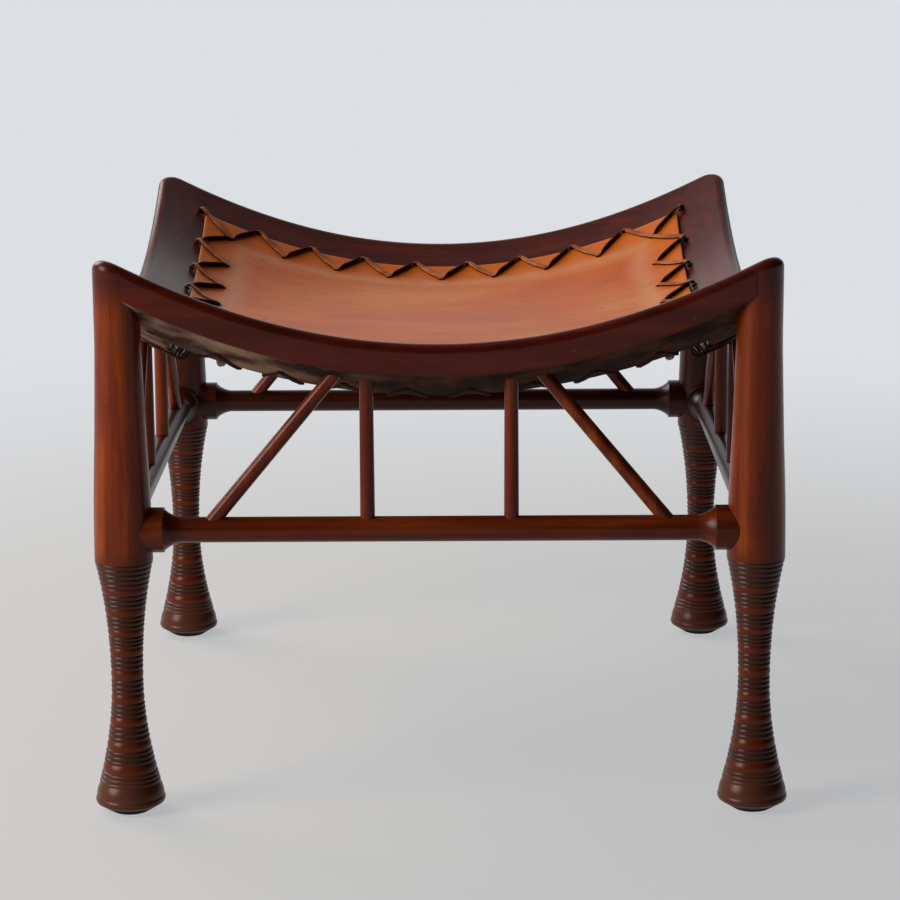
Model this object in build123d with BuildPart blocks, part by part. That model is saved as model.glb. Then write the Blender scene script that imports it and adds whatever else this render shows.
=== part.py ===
from build123d import *
import os
from math import sqrt

# Plan over the outer faces of the rails, and the two curves of the hollow top
width = 450
depth = 470
front_rail_height = 323.8
corner_rise_across = 66.3
corner_rise_deep = 63.8
corner_ease = 6
corner_ease_power_share = 6
top_grid_count = 11

# Rails: sawn to the curve, their section leaning into the seat
rail_width = 45
rail_thickness = 21.5
rail_top_round = 5.5
rail_under_round = 3
rail_tip_trim = 4

# Legs: turned posts with a ringed waist and a pear foot
leg_top_radius = 15.2
leg_swell_radius = 19.4
leg_shoulder_height = 325
ring_top_height = 173.7
neck_radius = 10.8
neck_height = 90
belly_radius = 22.3
foot_radius = 12.5
foot_taper_height = 6.5
ring_depth = 0.7

# The ringed waist, as shares of its top height: the top of each group of rings and its span
group_top_shares = (1, 0.8745, 0.7887, 0.7064, 0.6281, 0.5325, 0.4398, 0.35, 0.2545, 0.1658)
group_span_shares = (0.098, 0.054, 0.054, 0.046, 0.0575, 0.0575, 0.055, 0.06, 0.0535, 0.0495)
group_ring_counts = (5, 3, 3, 3, 3, 3, 3, 3, 3, 3)
rim_groove_share = 0.063
belly_share = 0.085
waist_flare_power_share = 2.2
foot_flare_power_share = 1.9
leg_taper_shares = ((0.12, 0.97), (0.25, 0.88), (0.53, 0.49), (0.86, 0.11))

# Stretchers: turned rods with a flared collar at each leg
stretcher_height = 194
stretcher_radius = 8.5
collar_radius = 15
collar_length = 8
flare_length = 11
flare_top_share = 0.93
flare_middle_share = 0.3
stretcher_tenon_radius = 5.5
stretcher_tenon_depth = 12.7

# Spindles and braces between the stretchers and the rails, placed as shares of a half span
spindle_foot_radius = 5
spindle_head_radius = 4.5
spindle_share = 0.227
brace_foot_share = 0.74
brace_head_share = 0.333
spindle_tenon_radius = 3
spindle_foot_tenon_depth = 6
spindle_head_tenon_depth = 8

# Round tenons of the rails in the tops of the legs
rail_tenon_radius = 4.5
rail_tenon_depth = 10.2
rail_tenon_root = 12
rail_tenon_drop = 18

# Leather seat, laid over the inner margin of the rails and hung less deep than they curve
leather_thickness = 2.8
leather_inset = 38.3
leather_corner_round = 4
leather_rise = 23
leather_rise_power_share = 1.25
leather_grid_count = 25

# Lacing: a flat thong through holes in the leather and holes in the rails
lace_pitches = 8
leather_hole_inset = 59
rail_hole_inset = 34.8
hole_radius = 2.6
strap_width = 4.5
strap_thickness = 1.3
thong_radius = 1.8

# Fits
glue_gap = 0.1
tenon_end_gap = 0.2
soft_gap = 0.3
under_gap = 1
overrun = 20

# Worked out from the sizes above
half_width = width / 2
half_depth = depth / 2
curve_across = (half_width**2 + corner_rise_across**2) / (2 * corner_rise_across)
curve_deep = (half_depth**2 + corner_rise_deep**2) / (2 * corner_rise_deep)
hollow_height = front_rail_height - corner_rise_deep
side_rail_height = hollow_height + corner_rise_across
top_height = front_rail_height + corner_rise_across
from_bottom = (Align.CENTER, Align.CENTER, Align.MIN)
up = Vector(0, 0, 1)

os.makedirs("parts", exist_ok=True)


def top_at(x, y):
    """Height of the hollow top: an arc each way, eased down towards the corners."""
    rise_across = curve_across - sqrt(curve_across**2 - x**2)
    rise_deep = curve_deep - sqrt(curve_deep**2 - y**2)
    ease = corner_ease * abs(x * y / (half_width * half_depth)) ** corner_ease_power_share
    return hollow_height + rise_across + rise_deep - ease


def top_normal(x, y):
    """Direction square to the hollow top, upwards."""
    step = rail_under_round
    slope_x = (top_at(x + step, y) - top_at(x - step, y)) / (2 * step)
    slope_y = (top_at(x, y + step) - top_at(x, y - step)) / (2 * step)
    return Vector(-slope_x, -slope_y, 1).normalized()


def seat_at(x, y):
    """Height of the underside of the leather: on the rails, and between them above their curve."""
    span_across = max(0, 1 - (x / (half_width - rail_width)) ** 2)
    span_deep = max(0, 1 - (y / (half_depth - rail_width)) ** 2)
    return top_at(x, y) + leather_lift + leather_rise * (span_across * span_deep) ** leather_rise_power_share


class Side:
    """One side of the frame. The front stands for the back too, and the left for the right.

    Places on it are a distance along it, an inset from its outer face and a height.
    """

    def __init__(self, name, far_name, ends, along, out, half_length, half_across, middle_height, curves):
        self.name = name
        self.far_name = far_name
        self.ends = ends
        self.along = along
        self.out = out
        self.half_length = half_length
        self.half_across = half_across
        self.turn_height = middle_height + curves[0]
        self.section_height = hollow_height + curves[1]
        self.under_radius = curves[1] + rail_thickness
        self.axis_half = half_length - leg_top_radius
        self.ends_mirror = Plane(origin=(0, 0, 0), z_dir=along)
        self.far_mirror = Plane(origin=(0, 0, 0), z_dir=out)

    def point(self, along, inset, height):
        return self.along * along + self.out * (self.half_across - inset) + up * height

    def top_point(self, along, inset, lift=0):
        """A point on the hollow top, or lifted square off it."""
        flat = self.point(along, inset, 0)
        return flat + up * top_at(flat.X, flat.Y) + top_normal(flat.X, flat.Y) * lift

    def seat_point(self, along, inset, lift):
        """A point on the underside of the leather, or lifted off it."""
        flat = self.point(along, inset, 0)
        return flat + up * seat_at(flat.X, flat.Y) + top_normal(flat.X, flat.Y) * lift

    def section_under(self, inset, drop):
        """Height of the rail's underside at the middle of the rail."""
        reach = self.half_across - inset
        return self.section_height - sqrt((self.under_radius + drop) ** 2 - reach**2)

    def under(self, along, inset, drop=0):
        """Height of the rail's underside anywhere along the rail."""
        turn = self.turn_height - self.section_under(inset, drop)
        return self.turn_height - sqrt(turn**2 - along**2)

    def bore(self, along, inset):
        """Direction of a hole drilled square across the rail, upwards."""
        flat = self.point(along, inset, 0)
        normal = top_normal(flat.X, flat.Y)
        return (self.out * normal.dot(self.out) + up * normal.Z).normalized()

    def under_exit(self, along, inset, drop):
        """Where such a hole comes out under the rail, or that much below."""
        start = self.top_point(along, inset)
        bore = self.bore(along, inset)
        length = rail_thickness
        for _ in range(lace_pitches):
            end = start - bore * length
            end_inset = self.half_across - end.dot(self.out)
            length += (end.Z - self.under(along, end_inset, drop)) * bore.Z
        return start - bore * length

    def ring(self, drop=0):
        """The curve of the rail before its top is hollowed, as a whole ring."""
        outer = self.half_across
        inner = outer - rail_width
        section_plane = Plane(origin=(0, 0, 0), x_dir=self.out, z_dir=self.out.cross(up))
        with BuildPart() as blank:
            with BuildSketch(section_plane) as section:
                with BuildLine():
                    under = ThreePointArc(
                        (outer, self.section_under(0, drop)),
                        (outer - rail_width / 2, self.section_under(rail_width / 2, drop)),
                        (inner, self.section_under(rail_width, drop)),
                    )
                    Polyline(under @ 1, (inner, top_height), (outer, top_height), under @ 0)
                make_face()
                fillet(section.vertices().sort_by(Axis.Y)[:2], rail_under_round)
            revolve(axis=Axis(up * self.turn_height, self.out))
        return blank.part

    def outline(self, trim, gap):
        """The plan of this side's pieces: square at the legs, then mitred inwards."""
        mitre = self.half_across - leg_top_radius + gap
        deep = rail_width - leg_top_radius + overrun / 4
        half = [
            (self.axis_half - trim, self.half_across + overrun),
            (self.axis_half - trim, mitre - trim),
            (self.axis_half - deep, mitre - deep),
        ]
        both = half + [(-along, out) for along, out in reversed(half)]
        return [self.along * along + self.out * out for along, out in both]

    def spindle_lines(self):
        """Each spindle and brace: its kind, its end of the side, its foot and its head."""
        lines = []
        for sign, end in zip((-1, 1), self.ends):
            for kind, foot_share, head_share in (
                ("spindle", spindle_share, spindle_share),
                ("brace", brace_foot_share, brace_head_share),
            ):
                foot_along = sign * foot_share * self.axis_half
                head_along = sign * head_share * self.axis_half
                foot = self.point(foot_along, leg_top_radius, stretcher_height)
                head = self.point(head_along, leg_top_radius, self.under(head_along, leg_top_radius))
                lines.append((kind, end, foot, head))
        return lines

    def leather_holes(self):
        """Places along one edge of the leather, the corner holes among them."""
        reach = self.half_length - leather_hole_inset
        return [reach * (2 * k / lace_pitches - 1) for k in range(lace_pitches + 1)]

    def rail_holes(self):
        """Places along the rail, each midway between two holes of the leather."""
        places = self.leather_holes()
        return [(before + after) / 2 for before, after in zip(places, places[1:])]


leather_lift = soft_gap / top_normal(half_width - leather_inset, half_depth - leather_inset).Z
front = Side(
    "front",
    "back",
    ("left", "right"),
    Vector(1, 0, 0),
    Vector(0, -1, 0),
    half_width,
    half_depth,
    front_rail_height,
    (curve_across, curve_deep),
)
left = Side(
    "left",
    "right",
    ("front", "back"),
    Vector(0, 1, 0),
    Vector(-1, 0, 0),
    half_depth,
    half_width,
    side_rail_height,
    (curve_deep, curve_across),
)
leg_axis = Vector(-front.axis_half, -left.axis_half, 0)


# Frame blank: the whole plan with its hollowed top and its rounded outer edge.
# The rails and the leg tops are parted from it, so they lie flush at the joints.
blank_low = hollow_height - rail_thickness - overrun
blank_height = top_height - blank_low
grid_steps = [2 * i / (top_grid_count - 1) - 1 for i in range(top_grid_count)]
grid_across = [step * (half_width + overrun) for step in grid_steps]
grid_deep = [step * (half_depth + overrun) for step in grid_steps]
hollow_face = Face.make_surface_from_array_of_points(
    [[Vector(x, y, top_at(x, y)) for x in grid_across] for y in grid_deep]
)
with BuildPart() as frame_blank:
    with BuildSketch(Plane.XY.offset(blank_low)):
        RectangleRounded(width, depth, leg_top_radius)
    extrude(amount=blank_height)
    extrude(hollow_face, amount=top_height, dir=(0, 0, 1), mode=Mode.SUBTRACT)
    hollow_edges = frame_blank.faces().filter_by(GeomType.BSPLINE)[0].outer_wire().edges()
    fillet(hollow_edges, rail_top_round)

# Sky: all that lies above the blank round the leg tops
sky_low = top_at(leg_axis.X, leg_axis.Y) - 2 * leg_top_radius
with BuildPart() as sky:
    with BuildSketch(Plane.XY.offset(sky_low)):
        Rectangle(width + 2 * overrun, depth + 2 * overrun)
    extrude(amount=blank_height)
    add(frame_blank.part, mode=Mode.SUBTRACT)


# Legs: one profile, turned, with the rings cut round the waist
def waist_radius(height):
    """Radius over the rings: a neck that flares up to the post and down to the foot."""
    if height > neck_height:
        share = (height - neck_height) / (ring_top_height - neck_height)
        return neck_radius + (leg_swell_radius - neck_radius) * share**waist_flare_power_share
    share = (neck_height - height) / (neck_height - belly_share * ring_top_height)
    return neck_radius + (belly_radius - neck_radius) * share**foot_flare_power_share


ring_grooves = [rim_groove_share * ring_top_height]
for top_share, span_share, ring_count in zip(
    reversed(group_top_shares), reversed(group_span_shares), reversed(group_ring_counts)
):
    for ring in range(ring_count + 1):
        groove_share = top_share - span_share * (1 - ring / ring_count)
        ring_grooves.append(groove_share * ring_top_height)


def post_points(offset):
    """The smooth post above the rings, upwards from its swell."""
    rise = leg_shoulder_height - ring_top_height
    swell = leg_swell_radius - leg_top_radius
    points = [(leg_swell_radius + offset, ring_top_height)]
    for rise_share, swell_share in leg_taper_shares:
        radius = leg_top_radius + swell * swell_share + offset
        points.append((radius, ring_top_height + rise * rise_share))
    points.append((leg_top_radius + offset, leg_shoulder_height))
    return points


leg_plane = Plane(origin=leg_axis, x_dir=(1, 0, 0), z_dir=(0, -1, 0))
leg_turn = Axis(leg_axis, (0, 0, 1))
tenon_height = top_at(leg_axis.X, leg_axis.Y) - rail_tenon_drop
with BuildPart() as leg_front_left:
    with BuildSketch(leg_plane):
        with BuildLine():
            rim = waist_radius(ring_grooves[0]) - ring_depth
            rim_middle = (foot_taper_height + ring_grooves[0]) / 2
            Polyline((0, 0), (foot_radius, 0), (rim, foot_taper_height))
            ThreePointArc((rim, foot_taper_height), (rim + ring_depth, rim_middle), (rim, ring_grooves[0]))
            for low, high in zip(ring_grooves, ring_grooves[1:]):
                middle = (low + high) / 2
                ThreePointArc(
                    (waist_radius(low) - ring_depth, low),
                    (waist_radius(middle), middle),
                    (waist_radius(high) - ring_depth, high),
                )
            Line((leg_swell_radius - ring_depth, ring_top_height), (leg_swell_radius, ring_top_height))
            post = Spline(post_points(0), tangents=((0, 1), (0, 1)))
            Polyline(post @ 1, (leg_top_radius, top_height), (0, top_height), (0, 0))
        make_face()
    revolve(axis=leg_turn)
    add(sky.part, mode=Mode.SUBTRACT)
    for side in (front, left):
        rail_line = side.point(-side.axis_half, leg_top_radius, tenon_height)
        with Locations(Plane(rail_line, z_dir=side.along).offset(leg_top_radius)):
            Cylinder(
                rail_tenon_radius + glue_gap,
                2 * (rail_tenon_depth + tenon_end_gap),
                mode=Mode.SUBTRACT,
            )
        stretcher_line = side.point(-side.axis_half, leg_top_radius, stretcher_height)
        with Locations(Plane(stretcher_line, z_dir=side.along).offset(leg_swell_radius)):
            Cylinder(
                stretcher_tenon_radius + glue_gap,
                2 * (stretcher_tenon_depth + tenon_end_gap),
                mode=Mode.SUBTRACT,
            )
leg_front_left.part.label = "leg_front_left"
export_step(leg_front_left.part, "parts/leg_front_left.step")

with BuildPart() as leg_front_right:
    mirror(leg_front_left.part, about=Plane.YZ)
leg_front_right.part.label = "leg_front_right"
export_step(leg_front_right.part, "parts/leg_front_right.step")

with BuildPart() as leg_back_left:
    mirror(leg_front_left.part, about=Plane.XZ)
leg_back_left.part.label = "leg_back_left"
export_step(leg_back_left.part, "parts/leg_back_left.step")

with BuildPart() as leg_back_right:
    mirror(leg_back_left.part, about=Plane.YZ)
leg_back_right.part.label = "leg_back_right"
export_step(leg_back_right.part, "parts/leg_back_right.step")

# What the shoulders of rails and stretchers are scribed to: the leg's post, a glue line proud
with BuildPart() as post_envelope:
    with BuildSketch(leg_plane):
        with BuildLine():
            post = Spline(post_points(glue_gap), tangents=((0, 1), (0, 1)))
            Polyline(
                post @ 1,
                (leg_top_radius + glue_gap, top_height),
                (0, top_height),
                (0, ring_top_height - overrun),
                (leg_swell_radius + glue_gap, ring_top_height - overrun),
                post @ 0,
            )
        make_face()
    revolve(axis=leg_turn)

# Rails: sawn to their curve, hollowed with the frame, mitred to their neighbours behind the legs
for side in (front, left):
    with BuildPart() as rail:
        add(side.ring())
        add(frame_blank.part, mode=Mode.INTERSECT)
        with BuildSketch(Plane.XY.offset(blank_low)):
            Polygon(*side.outline(rail_tip_trim, 0), align=None)
        extrude(amount=blank_height, mode=Mode.INTERSECT)
        add(post_envelope.part, mode=Mode.SUBTRACT)
        mirror(post_envelope.part, about=side.ends_mirror, mode=Mode.SUBTRACT)
        for sign in (-1, 1):
            tenon_line = side.point(sign * side.axis_half, leg_top_radius, tenon_height)
            tenon_plane = Plane(tenon_line, z_dir=side.along * -sign)
            with Locations(tenon_plane.offset(leg_top_radius - rail_tenon_depth)):
                Cylinder(rail_tenon_radius, rail_tenon_depth + rail_tenon_root, align=from_bottom)
            corner_along = sign * (side.half_length - rail_hole_inset)
            with Locations(side.point(corner_along, rail_hole_inset, blank_low)):
                Cylinder(hole_radius, blank_height, align=from_bottom, mode=Mode.SUBTRACT)
        for kind, end, foot, head in side.spindle_lines():
            with Locations(Plane(head, z_dir=head - foot)):
                Cylinder(
                    spindle_tenon_radius + glue_gap,
                    2 * (spindle_head_tenon_depth + tenon_end_gap),
                    mode=Mode.SUBTRACT,
                )
        for along in side.rail_holes():
            bore = side.bore(along, rail_hole_inset)
            with Locations(Plane(side.under_exit(along, rail_hole_inset, overrun), z_dir=bore)):
                Cylinder(
                    hole_radius, rail_thickness + 2 * overrun, align=from_bottom, mode=Mode.SUBTRACT
                )
    rail.part.label = f"rail_{side.name}"
    export_step(rail.part, f"parts/rail_{side.name}.step")
    with BuildPart() as far_rail:
        mirror(rail.part, about=side.far_mirror)
    far_rail.part.label = f"rail_{side.far_name}"
    export_step(far_rail.part, f"parts/rail_{side.far_name}.step")

# Stretchers: each turned in one piece with its flares, collars and tenons
for side in (front, left):
    middle = side.point(0, leg_top_radius, stretcher_height)
    collar_face = side.axis_half - leg_swell_radius - collar_length
    flare_radius = flare_top_share * collar_radius
    flare_waist = stretcher_radius + flare_middle_share * (flare_radius - stretcher_radius)
    with BuildPart() as stretcher:
        with BuildSketch(Plane(middle, x_dir=side.along, z_dir=side.along.cross(up))) as stretcher_half:
            with BuildLine():
                Polyline((0, 0), (0, stretcher_radius), (collar_face - flare_length, stretcher_radius))
                ThreePointArc(
                    (collar_face - flare_length, stretcher_radius),
                    (collar_face - flare_length / 2, flare_waist),
                    (collar_face, flare_radius),
                )
                Polyline(
                    (collar_face, flare_radius),
                    (collar_face, collar_radius),
                    (side.axis_half, collar_radius),
                    (side.axis_half, 0),
                    (0, 0),
                )
            make_face()
        revolve(axis=Axis(middle, side.along))
        mirror(about=side.ends_mirror)
        add(post_envelope.part, mode=Mode.SUBTRACT)
        mirror(post_envelope.part, about=side.ends_mirror, mode=Mode.SUBTRACT)
        with BuildSketch(Plane.XY.offset(stretcher_height - collar_radius)):
            Polygon(*side.outline(0, glue_gap), align=None)
        extrude(amount=2 * collar_radius, mode=Mode.INTERSECT)
        tenon_reach = side.axis_half - leg_swell_radius + stretcher_tenon_depth
        with Locations(Plane(middle, z_dir=side.along)):
            Cylinder(stretcher_tenon_radius, 2 * tenon_reach)
        for kind, end, foot, head in side.spindle_lines():
            with Locations(Plane(foot, z_dir=head - foot).offset(stretcher_radius)):
                Cylinder(
                    spindle_tenon_radius + glue_gap,
                    2 * (spindle_foot_tenon_depth + tenon_end_gap),
                    mode=Mode.SUBTRACT,
                )
    stretcher.part.label = f"stretcher_{side.name}"
    export_step(stretcher.part, f"parts/stretcher_{side.name}.step")
    with BuildPart() as far_stretcher:
        mirror(stretcher.part, about=side.far_mirror)
    far_stretcher.part.label = f"stretcher_{side.far_name}"
    export_step(far_stretcher.part, f"parts/stretcher_{side.far_name}.step")

# Spindles and braces: tapered rods, scribed to stretcher and rail, with a thin tenon at each end
for side in (front, left):
    middle = side.point(0, leg_top_radius, stretcher_height)
    rail_region = side.ring(glue_gap)
    for kind, end, foot, head in side.spindle_lines():
        length = (head - foot).length
        with BuildPart() as spindle:
            with Locations(Plane(foot, z_dir=head - foot)):
                Cone(
                    spindle_foot_radius, spindle_head_radius, length + spindle_head_tenon_depth, align=from_bottom
                )
            with Locations(Plane(middle, z_dir=side.along)):
                Cylinder(stretcher_radius + glue_gap, 2 * side.axis_half, mode=Mode.SUBTRACT)
            add(rail_region, mode=Mode.SUBTRACT)
            tenon_start = stretcher_radius - spindle_foot_tenon_depth
            with Locations(Plane(foot, z_dir=head - foot).offset(tenon_start)):
                Cylinder(
                    spindle_tenon_radius, length + spindle_head_tenon_depth - tenon_start, align=from_bottom
                )
        spindle.part.label = f"{kind}_{side.name}_{end}"
        export_step(spindle.part, f"parts/{kind}_{side.name}_{end}.step")
        with BuildPart() as far_spindle:
            mirror(spindle.part, about=side.far_mirror)
        far_spindle.part.label = f"{kind}_{side.far_name}_{end}"
        export_step(far_spindle.part, f"parts/{kind}_{side.far_name}_{end}.step")

# Leather seat: one hide, laid over the rails and sunk between them, with its lace holes
leather_across, leather_deep = (
    [half * (2 * i / (leather_grid_count - 1) - 1) for i in range(leather_grid_count)]
    for half in (half_width - leather_inset + overrun, half_depth - leather_inset + overrun)
)
leather_face = Face.make_surface_from_array_of_points(
    [[Vector(x, y, seat_at(x, y)) for x in leather_across] for y in leather_deep]
)
with BuildPart() as seat_leather:
    with BuildSketch(Plane.XY.offset(blank_low)):
        RectangleRounded(width - 2 * leather_inset, depth - 2 * leather_inset, leather_corner_round)
    extrude(amount=blank_height)
    extrude(leather_face, amount=leather_thickness, dir=(0, 0, 1), mode=Mode.INTERSECT)
    for side in (front, left):
        for along in side.leather_holes():
            if side is front or abs(along) < side.half_length - leather_hole_inset - strap_width:
                for sign in (-1, 1):
                    hole = side.seat_point(along, leather_hole_inset, 0)
                    across = hole.dot(side.out)
                    hole += side.out * (sign * across - across)
                    with Locations(Plane(hole, z_dir=top_normal(hole.X, hole.Y))):
                        Cylinder(hole_radius, overrun, mode=Mode.SUBTRACT)
seat_leather.part.label = "seat_leather"
export_step(seat_leather.part, "parts/seat_leather.step")


# Lacing: one long flat thong in four stretches, a zigzag over the margin and one under it
def strap(start, end, face=None):
    """A straight length of the thong, its flat side along the hollow top or towards face."""
    run = (end - start).normalized()
    middle = (start + end) * 0.5
    face = face or top_normal(middle.X, middle.Y)
    flat = (face - run * face.dot(run)).normalized()
    plane = Plane(middle, x_dir=run, z_dir=flat)
    return plane * Box((end - start).length + strap_thickness, strap_width, strap_thickness)


def thong(start, end):
    """The thong where it is drawn through a hole."""
    return Plane(start, z_dir=end - start) * Cylinder(
        thong_radius, (end - start).length, align=from_bottom
    )


half_strap = strap_thickness / 2
over_leather = leather_thickness + soft_gap + half_strap
over_rail = over_leather + leather_lift
under_drop = under_gap + half_strap
edge_inset = rail_width + under_drop
corner_edge_inset = rail_width + under_gap + strap_width / 2
for side in (front, left):
    lengths = []
    leather_holes = side.leather_holes()
    last = len(leather_holes) - 1
    tops = [side.seat_point(along, leather_hole_inset, over_leather) for along in leather_holes]
    bottoms = [side.seat_point(along, leather_hole_inset, -under_drop) for along in leather_holes]
    for k, (top, bottom) in enumerate(zip(tops, bottoms)):
        if side is front or 0 < k < last:
            lengths.append(thong(bottom, top))
    for j, along in enumerate(side.rail_holes()):
        rail_top = side.top_point(along, rail_hole_inset) + side.bore(along, rail_hole_inset) * over_rail
        rail_bottom = side.under_exit(along, rail_hole_inset, under_drop)
        exit_inset = side.half_across - rail_bottom.dot(side.out)
        edge_share = (edge_inset - exit_inset) / (leather_hole_inset - exit_inset)
        lengths.append(thong(rail_bottom, rail_top))
        for k in (j, j + 1):
            shared = side is left and k in (0, last)
            top_run = (tops[k] - rail_top).normalized()
            top_end = tops[k] - top_run * strap_width if shared else tops[k]
            lengths.append(strap(rail_top, top_end))
            edge_along = along + (leather_holes[k] - along) * edge_share
            edge_height = side.under(edge_along, edge_inset, under_drop)
            edge = side.point(edge_along, edge_inset, edge_height)
            lengths.append(strap(rail_bottom, edge))
            rise_run = (bottoms[k] - edge).normalized()
            rise_end = bottoms[k] - rise_run * 3 * strap_width if shared else bottoms[k]
            lengths.append(strap(edge, rise_end, side.out))
    if side is front:
        for sign, k in ((-1, 0), (1, last)):
            corner_along = sign * (side.half_length - rail_hole_inset)
            edge_along = sign * (side.half_length - corner_edge_inset)
            outwards = (side.out + side.along * sign).normalized()
            corner_top = side.top_point(corner_along, rail_hole_inset) + up * over_rail
            corner_low, edge_low = (
                min(
                    front.under(half_width - inset, inset, under_drop + under_gap),
                    left.under(half_depth - inset, inset, under_drop + under_gap),
                )
                for inset in (rail_hole_inset, corner_edge_inset)
            )
            corner_bottom = side.point(corner_along, rail_hole_inset, corner_low)
            edge = side.point(edge_along, corner_edge_inset, edge_low)
            lengths.append(thong(corner_bottom, corner_top))
            lengths.append(strap(corner_top, tops[k]))
            lengths.append(strap(corner_bottom, edge))
            lengths.append(strap(edge, bottoms[k], outwards))
    with BuildPart() as lacing:
        add(lengths)
    lacing.part.label = f"lacing_{side.name}"
    export_step(lacing.part, f"parts/lacing_{side.name}.step")
    with BuildPart() as far_lacing:
        mirror(lacing.part, about=side.far_mirror)
    far_lacing.part.label = f"lacing_{side.far_name}"
    export_step(far_lacing.part, f"parts/lacing_{side.far_name}.step")
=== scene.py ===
from math import cos, pi, radians, sin, sqrt

import bpy
from mathutils import Euler, Matrix, Vector


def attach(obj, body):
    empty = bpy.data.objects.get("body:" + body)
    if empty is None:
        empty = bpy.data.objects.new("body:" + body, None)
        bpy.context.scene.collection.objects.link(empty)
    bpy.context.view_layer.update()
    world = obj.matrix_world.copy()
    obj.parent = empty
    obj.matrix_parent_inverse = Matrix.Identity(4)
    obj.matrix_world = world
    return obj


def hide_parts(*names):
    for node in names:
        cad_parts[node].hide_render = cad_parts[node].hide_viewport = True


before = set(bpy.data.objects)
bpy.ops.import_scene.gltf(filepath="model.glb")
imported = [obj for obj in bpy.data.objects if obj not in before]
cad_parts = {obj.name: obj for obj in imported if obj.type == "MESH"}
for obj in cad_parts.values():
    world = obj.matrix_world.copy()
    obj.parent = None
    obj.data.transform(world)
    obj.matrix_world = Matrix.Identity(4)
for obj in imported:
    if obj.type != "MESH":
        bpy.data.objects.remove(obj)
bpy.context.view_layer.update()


# Camera, floor and light. The camera stands where the photograph's did, 2.1 m in front and 0.65 m up.
# A wide window stands on the left, the room behind is pale, and the right and the front are dim.
# The floor is plain and pale: lit around the stool, where it takes its shadow, and even further out.
def linear(hexcode):
    """An sRGB hex colour as linear red, green, blue and alpha."""
    values = [int(hexcode[i : i + 2], 16) / 255 for i in (1, 3, 5)]
    return [v / 12.92 if v <= 0.04045 else ((v + 0.055) / 1.055) ** 2.4 for v in values] + [1]


def add_node(tree, kind, settings=None, links=None):
    """Adds a shader node. A setting is one of its sockets or properties, and a link feeds a socket."""
    node = tree.nodes.new(kind)
    for key, value in (settings or {}).items():
        if isinstance(key, int) or key in node.inputs:
            node.inputs[key].default_value = value
        else:
            setattr(node, key, value)
    for key, source in (links or {}).items():
        tree.links.new(source, node.inputs[key])
    return node


def new_material(name):
    """An empty node material and its tree."""
    material = bpy.data.materials.new(name)
    material.use_nodes = True
    material.node_tree.nodes.clear()
    return material, material.node_tree


picture_side = 900
focal_pixels = 2935.45
camera_pitch = radians(12.17)
camera_roll = radians(0.32)
camera_yaw = radians(0.18)
camera_place = (0.0131, -2.1099, 0.6548)
camera_data = bpy.data.cameras.new("camera")
camera_data.sensor_width = 36
camera_data.lens = focal_pixels / picture_side * camera_data.sensor_width
camera = bpy.data.objects.new("camera", camera_data)
bpy.context.collection.objects.link(camera)
turn = Euler((pi / 2 - camera_pitch, 0, camera_yaw)).to_matrix()
turn = turn @ Matrix.Rotation(-camera_roll, 3, "Z")
camera.matrix_world = Matrix.Translation(camera_place) @ turn.to_4x4()
bpy.context.scene.camera = camera
stool_middle = Vector((0, 0, 0.2))


def window(name, place, width, height, power, tint):
    """A large area lamp that faces the middle of the stool."""
    data = bpy.data.lights.new(name, "AREA")
    data.shape = "RECTANGLE"
    data.size = width
    data.size_y = height
    data.energy = power
    data.color = linear(tint)[:3]
    lamp = bpy.data.objects.new(name, data)
    bpy.context.collection.objects.link(lamp)
    lamp.location = place
    lamp.rotation_euler = (stool_middle - Vector(place)).to_track_quat("-Z", "Y").to_euler()


window("window_front_left", place=(-1.9, -1.05, 1.15), width=1.1, height=1.3, power=46, tint="#FFF9EF")
window("window_back_left", place=(-1.6, 1.4, 1.6), width=1.3, height=1.3, power=34, tint="#FCF9F6")
window("room_behind", place=(0.3, 2.6, 1.3), width=2.6, height=1.0, power=5, tint="#F4F6FA")

floor_side = 60
shadow_reach = 0.35
even_reach = 1.6
even_share_near = 0.6
bpy.ops.object.select_all(action="DESELECT")
bpy.ops.mesh.primitive_plane_add(size=floor_side)
floor = bpy.context.object
floor.name = "floor"
floor_material, tree = new_material("pale_floor")
floor_place = add_node(tree, "ShaderNodeTexCoord").outputs["Object"]
floor_far = add_node(tree, "ShaderNodeVectorMath", {"operation": "LENGTH"}, {0: floor_place})
floor_plain = add_node(
    tree,
    "ShaderNodeMapRange",
    {
        "interpolation_type": "SMOOTHSTEP",
        "From Min": shadow_reach,
        "From Max": even_reach,
        "To Min": even_share_near,
        "To Max": 1,
    },
    {"Value": floor_far.outputs["Value"]},
)
floor_rays = add_node(tree, "ShaderNodeLightPath")
floor_seen = add_node(
    tree,
    "ShaderNodeMath",
    {"operation": "MAXIMUM"},
    {0: floor_rays.outputs["Is Camera Ray"], 1: floor_rays.outputs["Is Glossy Ray"]},
)
floor_seen = add_node(
    tree,
    "ShaderNodeMath",
    {"operation": "MAXIMUM"},
    {0: floor_seen.outputs[0], 1: floor_rays.outputs["Is Transmission Ray"]},
)
floor_share = add_node(
    tree,
    "ShaderNodeMath",
    {"operation": "MULTIPLY"},
    {0: floor_seen.outputs[0], 1: floor_plain.outputs[0]},
)
floor_lit = add_node(
    tree, "ShaderNodeBsdfPrincipled", {"Base Color": linear("#B9AF9F"), "Roughness": 0.95}
)
floor_even = add_node(tree, "ShaderNodeEmission", {"Color": linear("#DCDFE3"), "Strength": 1.0})
floor_mix = add_node(
    tree,
    "ShaderNodeMixShader",
    links={0: floor_share.outputs[0], 1: floor_lit.outputs[0], 2: floor_even.outputs[0]},
)
add_node(tree, "ShaderNodeOutputMaterial", links={"Surface": floor_mix.outputs[0]})
floor.data.materials.append(floor_material)

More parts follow.
